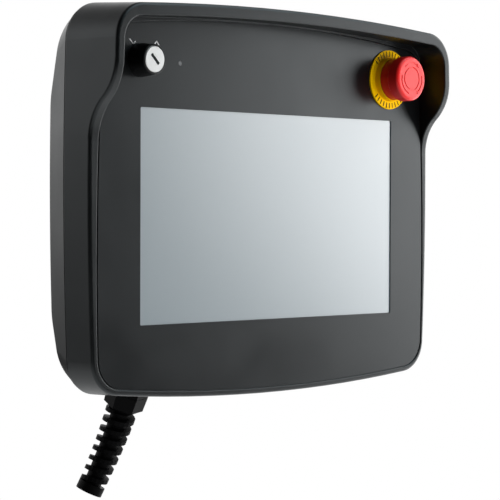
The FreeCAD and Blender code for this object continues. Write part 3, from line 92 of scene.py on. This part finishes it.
def make_eroded_grain():
    """The pebbled skin that a spark-eroded mould leaves: its height, its tone, and wide soft clouds."""
    group, given, made = shader_group(
        "eroded_grain",
        [("Grain per metre", "NodeSocketFloat", 2600.0), ("Cloud per metre", "NodeSocketFloat", 26.0)],
        ["Height", "Tone", "Cloud"],
    )
    cell_share = 0.55
    place = group.nodes.new("ShaderNodeTexCoord")
    pebble = group.nodes.new("ShaderNodeTexNoise")
    pebble.inputs["Detail"].default_value = 2.0
    pebble.inputs["Roughness"].default_value = 0.6
    cells = group.nodes.new("ShaderNodeTexVoronoi")
    cells.feature = "SMOOTH_F1"
    blend = group.nodes.new("ShaderNodeMath")
    blend.operation = "MULTIPLY_ADD"
    blend.inputs[1].default_value = cell_share
    cloud = group.nodes.new("ShaderNodeTexNoise")
    cloud.inputs["Detail"].default_value = 3.0
    link = group.links.new
    rates = ((pebble, "Grain per metre"), (cells, "Grain per metre"), (cloud, "Cloud per metre"))
    for texture, rate in rates:
        link(place.outputs["Object"], texture.inputs["Vector"])
        link(given.outputs[rate], texture.inputs["Scale"])
    link(cells.outputs["Distance"], blend.inputs[0])
    link(pebble.outputs["Fac"], blend.inputs[2])
    link(blend.outputs["Value"], made.inputs["Height"])
    link(pebble.outputs["Fac"], made.inputs["Tone"])
    link(cloud.outputs["Fac"], made.inputs["Cloud"])
    return group


def new_finish(name):
    """A node material, its nodes, the call that links them, and its shader."""
    finish = bpy.data.materials.new(name)
    finish.use_nodes = True
    tree = finish.node_tree
    return finish, tree.nodes, tree.links.new, tree.nodes["Principled BSDF"]


def two_tones(made, low, high):
    """A mix of two near colours."""
    tone = made.new("ShaderNodeMix")
    tone.data_type = "RGBA"
    tone.inputs["A"].default_value = (*low, 1)
    tone.inputs["B"].default_value = (*high, 1)
    return tone


def spread(made, levels, start=0.0, end=1.0):
    """Carries a value that runs from start to end over to a pair of levels."""
    reach = made.new("ShaderNodeMapRange")
    for label, value in zip(("From Min", "From Max", "To Min", "To Max"), (start, end, *levels)):
        reach.inputs[label].default_value = value
    return reach


def fine_bump(made, strength, depth):
    """A bump that is as deep as the depth at full strength."""
    skin = made.new("ShaderNodeBump")
    skin.inputs["Strength"].default_value = strength
    skin.inputs["Distance"].default_value = depth
    return skin


def join_to_shader(link, shader, tone, sheen, skin):
    """Feeds a shader with its colour, its roughness and its bump."""
    link(tone.outputs["Result"], shader.inputs["Base Color"])
    link(sheen.outputs["Result"], shader.inputs["Roughness"])
    link(skin.outputs["Normal"], shader.inputs["Normal"])


eroded_grain = make_eroded_grain()
grain_depth = 0.0002
cloud_start, cloud_end = 0.3, 0.7
plain_white = (1.0, 1.0, 1.0)


def moulded(name, low, high, rough, grain=2600.0, bump=0.12, specular=0.5, edge=0.0, mirror=plain_white):
    """A moulded plastic: two near tones mixed by its grain, a roughness that clouds, a fine bump.

    With an edge radius, its sharp edges also shine as the slightly rounded edges of a moulding do.
    """
    finish, made, link, shader = new_finish(name)
    grained = made.new("ShaderNodeGroup")
    grained.node_tree = eroded_grain
    grained.inputs["Grain per metre"].default_value = grain
    tone = two_tones(made, low, high)
    sheen = spread(made, rough, cloud_start, cloud_end)
    skin = fine_bump(made, bump, grain_depth)
    shader.inputs["Specular IOR Level"].default_value = specular
    shader.inputs["Specular Tint"].default_value = (*mirror, 1)
    if edge:
        rounding = made.new("ShaderNodeBevel")
        rounding.samples = 6
        rounding.inputs["Radius"].default_value = edge
        link(rounding.outputs["Normal"], skin.inputs["Normal"])
    link(grained.outputs["Tone"], tone.inputs["Factor"])
    link(grained.outputs["Cloud"], sheen.inputs["Value"])
    link(grained.outputs["Height"], skin.inputs["Height"])
    join_to_shader(link, shader, tone, sheen, skin)
    return finish


def dress(finish, *names):
    """Gives CAD nodes a finish in place of the plain one they came with."""
    for name in names:
        mesh = nodes[name].data
        mesh.materials.clear()
        mesh.materials.append(finish)


cool_mirror = (0.9, 0.97, 1.0)
housing_plastic = moulded("housing_plastic", (0.002, 0.0021, 0.0023), (0.0036, 0.0038, 0.0041),
                          rough=(0.32, 0.4), specular=0.45, edge=0.0008, mirror=cool_mirror)
dress(housing_plastic, "front_housing", "rear_housing")

# Seals: black rubber rings and strips, pressed into grooves and under the switches and the gland.
# Only thin edges of them can be seen, dull and a little dusty.
seal_rubber = moulded("seal_rubber", (0.012, 0.012, 0.012), (0.03, 0.03, 0.029),
                      rough=(0.62, 0.8), grain=900.0, bump=0.25)
dress(seal_rubber, "housing_seal", "display_gasket", "estop_seal", "key_seal")
dress(seal_rubber, "gland_washer", "gland_grommet")

# Screws, inserts and sheet metal: zinc plated pan head screws with a hexagon socket, turned brass inserts
# set into the cover for an arm, and the plain steel of the display's frame, tray and bracket.
# Each metal is finely mottled, or drawn out along the way that it was rolled or turned.


def make_drawn_mottle():
    """The uneven skin of a metal: crystals or tool marks, drawn out where the stretch is below one."""
    group, given, made = shader_group(
        "drawn_mottle",
        [("Grain per metre", "NodeSocketFloat", 900.0), ("Stretch", "NodeSocketVector", (1.0, 1.0, 1.0))],
        ["Mottle"],
    )
    place = group.nodes.new("ShaderNodeTexCoord")
    drawn = group.nodes.new("ShaderNodeMapping")
    mottle = group.nodes.new("ShaderNodeTexNoise")
    mottle.inputs["Detail"].default_value = 3.0
    link = group.links.new
    link(place.outputs["Object"], drawn.inputs["Vector"])
    link(given.outputs["Stretch"], drawn.inputs["Scale"])
    link(drawn.outputs["Vector"], mottle.inputs["Vector"])
    link(given.outputs["Grain per metre"], mottle.inputs["Scale"])
    link(mottle.outputs["Fac"], made.inputs["Mottle"])
    return group


drawn_mottle = make_drawn_mottle()
mottle_depth = 0.0001


def metal(name, low, high, rough, grain=900.0, stretch=(1.0, 1.0, 1.0), bump=0.05):
    """A bare or plated metal, whose mottle gives it two near tones, its roughness and a faint bump."""
    finish, made, link, shader = new_finish(name)
    worked = made.new("ShaderNodeGroup")
    worked.node_tree = drawn_mottle
    worked.inputs["Grain per metre"].default_value = grain
    worked.inputs["Stretch"].default_value = stretch
    tone = two_tones(made, low, high)
    sheen = spread(made, rough)
    skin = fine_bump(made, bump, mottle_depth)
    shader.inputs["Metallic"].default_value = 1.0
    for socket in (tone.inputs["Factor"], sheen.inputs["Value"], skin.inputs["Height"]):
        link(worked.outputs["Mottle"], socket)
    join_to_shader(link, shader, tone, sheen, skin)
    return finish


zinc_plate = metal("zinc_plate", (0.42, 0.43, 0.44), (0.6, 0.61, 0.62), rough=(0.28, 0.45))
dress(zinc_plate, "housing_screws", "bracket_screws", "board_screws")
turned_brass = metal("turned_brass", (0.6, 0.42, 0.16), (0.72, 0.54, 0.25),
                     rough=(0.25, 0.4), grain=1800.0, stretch=(1.0, 0.1, 1.0))
dress(turned_brass, "mount_inserts")
sheet_steel = metal("sheet_steel", (0.5, 0.51, 0.52), (0.62, 0.63, 0.64),
                    rough=(0.3, 0.45), grain=700.0, stretch=(1.0, 1.0, 0.04))
dress(sheet_steel, "lcd_frame", "backlight_tray", "display_bracket")

# Circuit board and what is on it: a green glass fibre board on brass pillars behind the display, with moulded
# plugs and terminals, an aluminium heat sink, capacitors in cans, and a coin cell in its holder.
# The cover hides all of it, but each piece has its own stuff.
dress(turned_brass, "board_standoffs")
solder_mask = moulded("solder_mask", (0.012, 0.09, 0.035), (0.025, 0.15, 0.06),
                      rough=(0.25, 0.4), grain=420.0, bump=0.2)
dress(solder_mask, "main_board")
chip_black = moulded("chip_black", (0.014, 0.014, 0.015), (0.024, 0.024, 0.025),
                     rough=(0.45, 0.6), grain=3000.0)
dress(chip_black, "processor")
bare_aluminium = metal("bare_aluminium", (0.62, 0.63, 0.64), (0.74, 0.75, 0.76),
                       rough=(0.3, 0.5), stretch=(1.0, 1.0, 0.05))
dress(bare_aluminium, "heat_sink", "capacitors")
terminal_green = moulded("terminal_green", (0.03, 0.2, 0.06), (0.05, 0.27, 0.09), rough=(0.35, 0.5))
dress(terminal_green, "terminal_block")
header_white = moulded("header_white", (0.6, 0.59, 0.55), (0.7, 0.69, 0.65), rough=(0.4, 0.55))
dress(header_white, "board_plugs", "cell_holder")
cell_can = metal("cell_can", (0.6, 0.6, 0.6), (0.72, 0.72, 0.71), rough=(0.2, 0.34))
dress(cell_can, "coin_cell")
ribbon_amber = moulded("ribbon_amber", (0.34, 0.14, 0.02), (0.46, 0.21, 0.04),
                       rough=(0.2, 0.35), grain=1200.0)
dress(ribbon_amber, "display_flex")

# Display and touch panel: anti-glare glass in front of a display that is off and shows a pale silver grey.
# The bracket holds both against the front housing, and the film's window shows the glass.
etch_per_metre, patch_per_metre = 5200.0, 11.0
etch_depth = 0.0001
layered_glass_ior = 3.4


def make_touch_surface():
    """A light grey, strongly mirroring surface with the fine sparkle of etched anti-glare glass."""
    finish, made, link, shader = new_finish("touch_surface")
    place = made.new("ShaderNodeTexCoord")
    etch = made.new("ShaderNodeTexNoise")
    etch.inputs["Scale"].default_value = etch_per_metre
    etch.inputs["Detail"].default_value = 1.0
    patch = made.new("ShaderNodeTexNoise")
    patch.inputs["Scale"].default_value = patch_per_metre
    tone = two_tones(made, (0.103, 0.146, 0.17), (0.117, 0.162, 0.187))
    sheen = spread(made, (0.3, 0.36))
    skin = fine_bump(made, 0.03, etch_depth)
    shader.inputs["IOR"].default_value = layered_glass_ior
    for texture in (etch, patch):
        link(place.outputs["Object"], texture.inputs["Vector"])
    link(etch.outputs["Fac"], tone.inputs["Factor"])
    link(patch.outputs["Fac"], sheen.inputs["Value"])
    link(etch.outputs["Fac"], skin.inputs["Height"])
    join_to_shader(link, shader, tone, sheen, skin)
    return finish


dress(make_touch_surface(), "touch_panel")
display_glass = moulded("display_glass", (0.012, 0.012, 0.014), (0.02, 0.02, 0.022),
                        rough=(0.08, 0.16), grain=60.0, bump=0.0)
dress(display_glass, "lcd_panel")

# Front film: a dark grey printed polyester sheet with a satin face, glued into the rim's pocket.
# Its window frames the screen, and pale printed marks show the two positions of the key.
printed_film = moulded("printed_film", (0.0025, 0.0027, 0.003), (0.0042, 0.0045, 0.0049),
                       rough=(0.28, 0.34), grain=3400.0, bump=0.08, mirror=cool_mirror)
dress(printed_film, "front_overlay")
film_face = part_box("front_overlay")[0].y
print_lift = 0.00004
scene_objects = bpy.context.scene.collection.objects


def flat_print(name, outlines, y, finish, body):
    """Printed flat shapes that face the operator, from closed outlines of (x, z) points."""
    shape = bmesh.new()
    for points in outlines:
        corners = [shape.verts.new((x, y, z)) for x, z in points]
        shape.faces.new(corners)
    bmesh.ops.recalc_face_normals(shape, faces=shape.faces)
    for face in shape.faces:
        if face.normal.y > 0:
            face.normal_flip()
    mesh = bpy.data.meshes.new(name)
    shape.to_mesh(mesh)
    shape.free()
    mesh.materials.append(finish)
    piece = bpy.data.objects.new(name, mesh)
    scene_objects.link(piece)
    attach(piece, body)


def stroke(start, end, width):
    """The outline of a straight printed stroke between two (x, z) points."""
    along = Vector((end[0] - start[0], end[1] - start[1])).normalized() * (width / 2)
    side = Vector((-along.y, along.x))
    first, last = Vector(start) - along, Vector(end) + along
    return [first + side, last + side, last - side, first - side]


key_low, key_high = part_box("key_barrel")
key_middle = (key_low + key_high) / 2


def beside_key(offsets):
    """Points of the film, as (x, z), from their offsets to the middle of the key switch."""
    return [(key_middle.x + x, key_middle.z + z) for x, z in offsets]


mark_width = 0.00065
open_mark = beside_key([(-0.0081, 0.0115), (-0.0056, 0.009), (-0.004, 0.0104)])
locked_mark = beside_key([(0.011, 0.0097), (0.0128, 0.0117), (0.0147, 0.00925)])
mark_strokes = [stroke(a, b, mark_width) for a, b in zip(open_mark, open_mark[1:])]
mark_strokes += [stroke(a, b, mark_width) for a, b in zip(locked_mark, locked_mark[1:] + locked_mark[:1])]
print_white = moulded("print_white", (0.6, 0.61, 0.62), (0.7, 0.71, 0.72),
                      rough=(0.45, 0.6), grain=2200.0, bump=0.0)
flat_print("key_position_marks", mark_strokes, film_face - print_lift, print_white, "housing")

# Status light: a small round light pipe of grey plastic, pushed through the housing from behind.
# Its end is flush with the film, and it is off.
light_pipe = moulded("light_pipe", (0.1, 0.104, 0.108), (0.13, 0.134, 0.138),
                     rough=(0.2, 0.3), grain=1500.0, bump=0.02)
dress(light_pipe, "status_light")

# Emergency stop: a yellow legend ring and collar of satin plastic, and a red mushroom head on a black
# plunger, in a barrel that a grey nut holds from behind. The ring's print is a plain scale of black ticks;
# the reset arrows are moulded into the head.
stop_yellow = moulded("stop_yellow", (0.9, 0.52, 0.0), (0.95, 0.57, 0.001),
                      rough=(0.45, 0.55), grain=2400.0, bump=0.06, specular=0.06)
dress(stop_yellow, "estop_legend_ring", "estop_collar")
stop_red = moulded("stop_red", (0.78, 0.012, 0.012), (0.84, 0.018, 0.017), rough=(0.3, 0.38), bump=0.05)
dress(stop_red, "estop_head")
switch_black = moulded("switch_black", (0.002, 0.002, 0.0022), (0.004, 0.004, 0.0043),
                       rough=(0.36, 0.46), specular=0.3)
dress(switch_black, "estop_barrel", "estop_plunger")
switch_grey = moulded("switch_grey", (0.2, 0.205, 0.21), (0.26, 0.265, 0.27), rough=(0.42, 0.55))
dress(switch_grey, "estop_locknut", "estop_contact_block")

ring_low, ring_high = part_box("estop_legend_ring")
ring_middle = (ring_low + ring_high) / 2
tick_inner, tick_outer, tick_width = 0.0155, 0.0181, 0.0008
tick_fan_deg, tick_step_deg = 50, 10


def ring_point(radius, degrees):
    """A point of the legend ring, as (x, z), counted clockwise from the top."""
    angle = math.radians(degrees)
    return ring_middle.x + radius * math.sin(angle), ring_middle.z + radius * math.cos(angle)


tick_degs = [middle + turn for middle in (0, 180)
             for turn in range(-tick_fan_deg, tick_fan_deg + 1, tick_step_deg)]
ring_ticks = [stroke(ring_point(tick_inner, a), ring_point(tick_outer, a), tick_width) for a in tick_degs]
print_black = moulded("print_black", (0.002, 0.002, 0.002), (0.005, 0.005, 0.005),
                      rough=(0.45, 0.6), grain=2200.0, bump=0.0, specular=0.1)
flat_print("legend_ticks", ring_ticks, ring_low.y - print_lift, print_black, "housing")

# Key switch: a black moulded barrel that a grey nut holds from behind, with a turned metal core in it.
# The core's face is finely faced off and holds the key slot.
dress(switch_black, "key_barrel")
dress(switch_grey, "key_locknut", "key_contact_block")
key_metal = metal("key_metal", (0.74, 0.74, 0.73), (0.84, 0.84, 0.83),
                  rough=(0.34, 0.46), grain=2600.0, stretch=(1.0, 0.2, 1.0))
dress(key_metal, "key_rotor")

# Enabling switch: a soft-touch grey paddle on the rear wing, which the holding hand squeezes.
# A black bezel guards it and goes through the wing, and the switch module is behind.
enable_black = moulded("enable_black", (0.01, 0.01, 0.011), (0.018, 0.018, 0.019), rough=(0.4, 0.52))
dress(enable_black, "enable_bezel", "enable_module")
enable_grey = moulded("enable_grey", (0.07, 0.073, 0.076), (0.1, 0.103, 0.107),
                      rough=(0.5, 0.64), grain=1800.0, bump=0.2)
dress(enable_grey, "enable_paddle")

# Cable gland: black polyamide, a hexagon body under the cover that a nut holds from inside.
# Its dome nut runs out into a spiral guard, which keeps the cable from bending too sharply.
gland_black = moulded("gland_black", (0.001, 0.001, 0.0011), (0.002, 0.002, 0.0022),
                      rough=(0.4, 0.55), grain=2000.0, bump=0.1, specular=0.05)
dress(gland_black, "gland_body", "gland_locknut", "gland_spiral_nut")

# Camera: it stands in front of the panel and to the left, about level with the screen.
# Its place, its turn and its focal length were fitted to the screen's corners and the round switches.
camera_place = Vector((-0.874885, -0.882279, 0.001595))
camera_yaw, camera_pitch, camera_roll = (math.radians(a) for a in (46.004, -1.055, 0.187))
focal_length_mm, sensor_width_mm = 141.09, 36.0
nearest_seen, farthest_seen = 0.05, 50.0
ahead = Vector((math.sin(camera_yaw), math.cos(camera_yaw), 0.0))
forward = ahead * math.cos(camera_pitch) + Vector((0.0, 0.0, math.sin(camera_pitch)))
right = Vector((math.cos(camera_yaw), -math.sin(camera_yaw), 0.0))
up = right.cross(forward)
rolled_right = right * math.cos(camera_roll) + up * math.sin(camera_roll)
rolled_up = up * math.cos(camera_roll) - right * math.sin(camera_roll)
lens = bpy.data.cameras.new("camera")
lens.lens = focal_length_mm
lens.sensor_width = sensor_width_mm
lens.clip_start = nearest_seen
lens.clip_end = farthest_seen
camera = bpy.data.objects.new("camera", lens)
turn = Matrix((rolled_right, rolled_up, -forward)).transposed()
camera.matrix_world = Matrix.Translation(camera_place) @ turn.to_4x4()
scene_objects.link(camera)
bpy.context.scene.camera = camera

# Floor: a plain pale painted board far below the panel, which hangs on its arm mount.
# Where it is seen, it is lifted towards the white of the background, without more light on the panel.
floor_drop, floor_reach, floor_lift = 1.2, 4.0, 0.62
floor_z = cad_low.z - floor_drop
floor_sides = ((-1, -1), (1, -1), (1, 1), (-1, 1))
floor_corners = [(x * floor_reach, y * floor_reach, floor_z) for x, y in floor_sides]
floor_mesh = bpy.data.meshes.new("floor")
floor_mesh.from_pydata(floor_corners, [], [(0, 1, 2, 3)])
floor = bpy.data.objects.new("floor", floor_mesh)
scene_objects.link(floor)
floor_paint = moulded("floor_paint", (0.78, 0.78, 0.78), (0.82, 0.82, 0.82),
                      rough=(0.7, 0.8), grain=40.0, bump=0.0)
floor_mesh.materials.append(floor_paint)


def rays_of(made, link, *kinds):
    """One for the named kinds of rays, and nothing for the others, such as light on the panel."""
    path = made.new("ShaderNodeLightPath")
    share = path.outputs[kinds[0]]
    for kind in kinds[1:]:
        either = made.new("ShaderNodeMath")
        either.operation = "MAXIMUM"
        link(share, either.inputs[0])
        link(path.outputs[kind], either.inputs[1])
        share = either.outputs["Value"]
    return share


def lift_where_seen(finish, strength):
    """Makes a finish paler to the camera, in mirrors and through clear things, but not as a light."""
    made, link = finish.node_tree.nodes, finish.node_tree.links.new
    lift = made.new("ShaderNodeMath")
    lift.operation = "MULTIPLY"
    lift.inputs[1].default_value = strength
    shader = made["Principled BSDF"]
    shader.inputs["Emission Color"].default_value = (*plain_white, 1)
    link(rays_of(made, link, "Is Camera Ray", "Is Glossy Ray", "Is Transmission Ray"), lift.inputs[0])
    link(lift.outputs["Value"], shader.inputs["Emission Strength"])


lift_where_seen(floor_paint, floor_lift)

# Studio air: white all round where it is seen directly or through something clear.
# Light and mirrors meet a white band behind the panel, and a room that is dark above and in front.
camera_side = (-0.3, -0.95, 0.0)
seen_white = 1.0


def soft_step(made, levels, start, end):
    """A soft change from the first level to the second, between start and end."""
    step = spread(made, levels, start, end)
    step.interpolation_type = "SMOOTHSTEP"
    return step


def product(made, link, first, second):
    """The product of two values."""
    times = made.new("ShaderNodeMath")
    times.operation = "MULTIPLY"
    link(first, times.inputs[0])
    link(second, times.inputs[1])
    return times.outputs["Value"]


def make_studio_air():
    """The world: its light by direction, and plain white for what looks straight at it."""
    world = bpy.data.worlds.new("studio")
    world.use_nodes = True
    made, link = world.node_tree.nodes, world.node_tree.links.new
    air = made["Background"]
    air.inputs["Color"].default_value = (*plain_white, 1)
    way = made.new("ShaderNodeTexCoord")
    apart = made.new("ShaderNodeSeparateXYZ")
    towards = made.new("ShaderNodeVectorMath")
    towards.operation = "DOT_PRODUCT"
    towards.inputs[1].default_value = camera_side
    shade = soft_step(made, (1.0, 0.02), -0.2, 0.25)
    rise = soft_step(made, (0.02, 1.3), -0.15, 0.12)
    ceiling = soft_step(made, (1.0, 0.2), 0.3, 0.75)
    level = made.new("ShaderNodeMix")
    level.inputs["B"].default_value = seen_white
    link(way.outputs["Generated"], towards.inputs[0])
    link(way.outputs["Generated"], apart.inputs["Vector"])
    link(towards.outputs["Value"], shade.inputs["Value"])
    link(apart.outputs["Z"], rise.inputs["Value"])
    link(apart.outputs["Z"], ceiling.inputs["Value"])
    band = product(made, link, rise.outputs["Result"], ceiling.outputs["Result"])
    link(product(made, link, shade.outputs["Result"], band), level.inputs["A"])
    link(rays_of(made, link, "Is Camera Ray", "Is Transmission Ray"), level.inputs["Factor"])
    link(level.outputs["Result"], air.inputs["Strength"])
    return world


bpy.context.scene.world = make_studio_air()

# Soft boxes: a large one to the right, which the film and the screen mirror, a cool one in front and above,
# and a fill in front of the switches, which is kept out of mirrors so that the film stays dark.


def soft_box(name, place, target, size, watts, roll_deg=0.0, tint=plain_white):
    """A rectangular area light that points at a spot, rolled about its own axis."""
    lamp = bpy.data.lights.new(name, "AREA")
    lamp.shape = "RECTANGLE"
    lamp.size, lamp.size_y = size
    lamp.energy = watts
    lamp.color = tint
    light = bpy.data.objects.new(name, lamp)
    light.location = place
    aim = (Vector(target) - Vector(place)).to_track_quat("-Z", "Y")
    light.rotation_euler = (aim @ Quaternion((0, 0, 1), math.radians(roll_deg))).to_euler()
    scene_objects.link(light)
    return light


soft_box("key_box", place=(1.48, -0.3, -0.06), target=(0.703, 0.329, -0.06), size=(1.2, 1.6),
         watts=20.7, roll_deg=38.0)
soft_box("high_box", place=(0.75, -0.9, 1.2), target=(0.05, -0.06, 0.06), size=(1.6, 1.2),
         watts=13.0, tint=(0.78, 0.94, 1.0))
fill_box = soft_box("fill_box", place=(0.45, -1.15, -0.15), target=(0.1, -0.06, 0.09), size=(1.0, 0.5),
                    watts=12.0)
fill_box.visible_glossy = False

bpy.context.scene.view_settings.view_transform = "Standard"
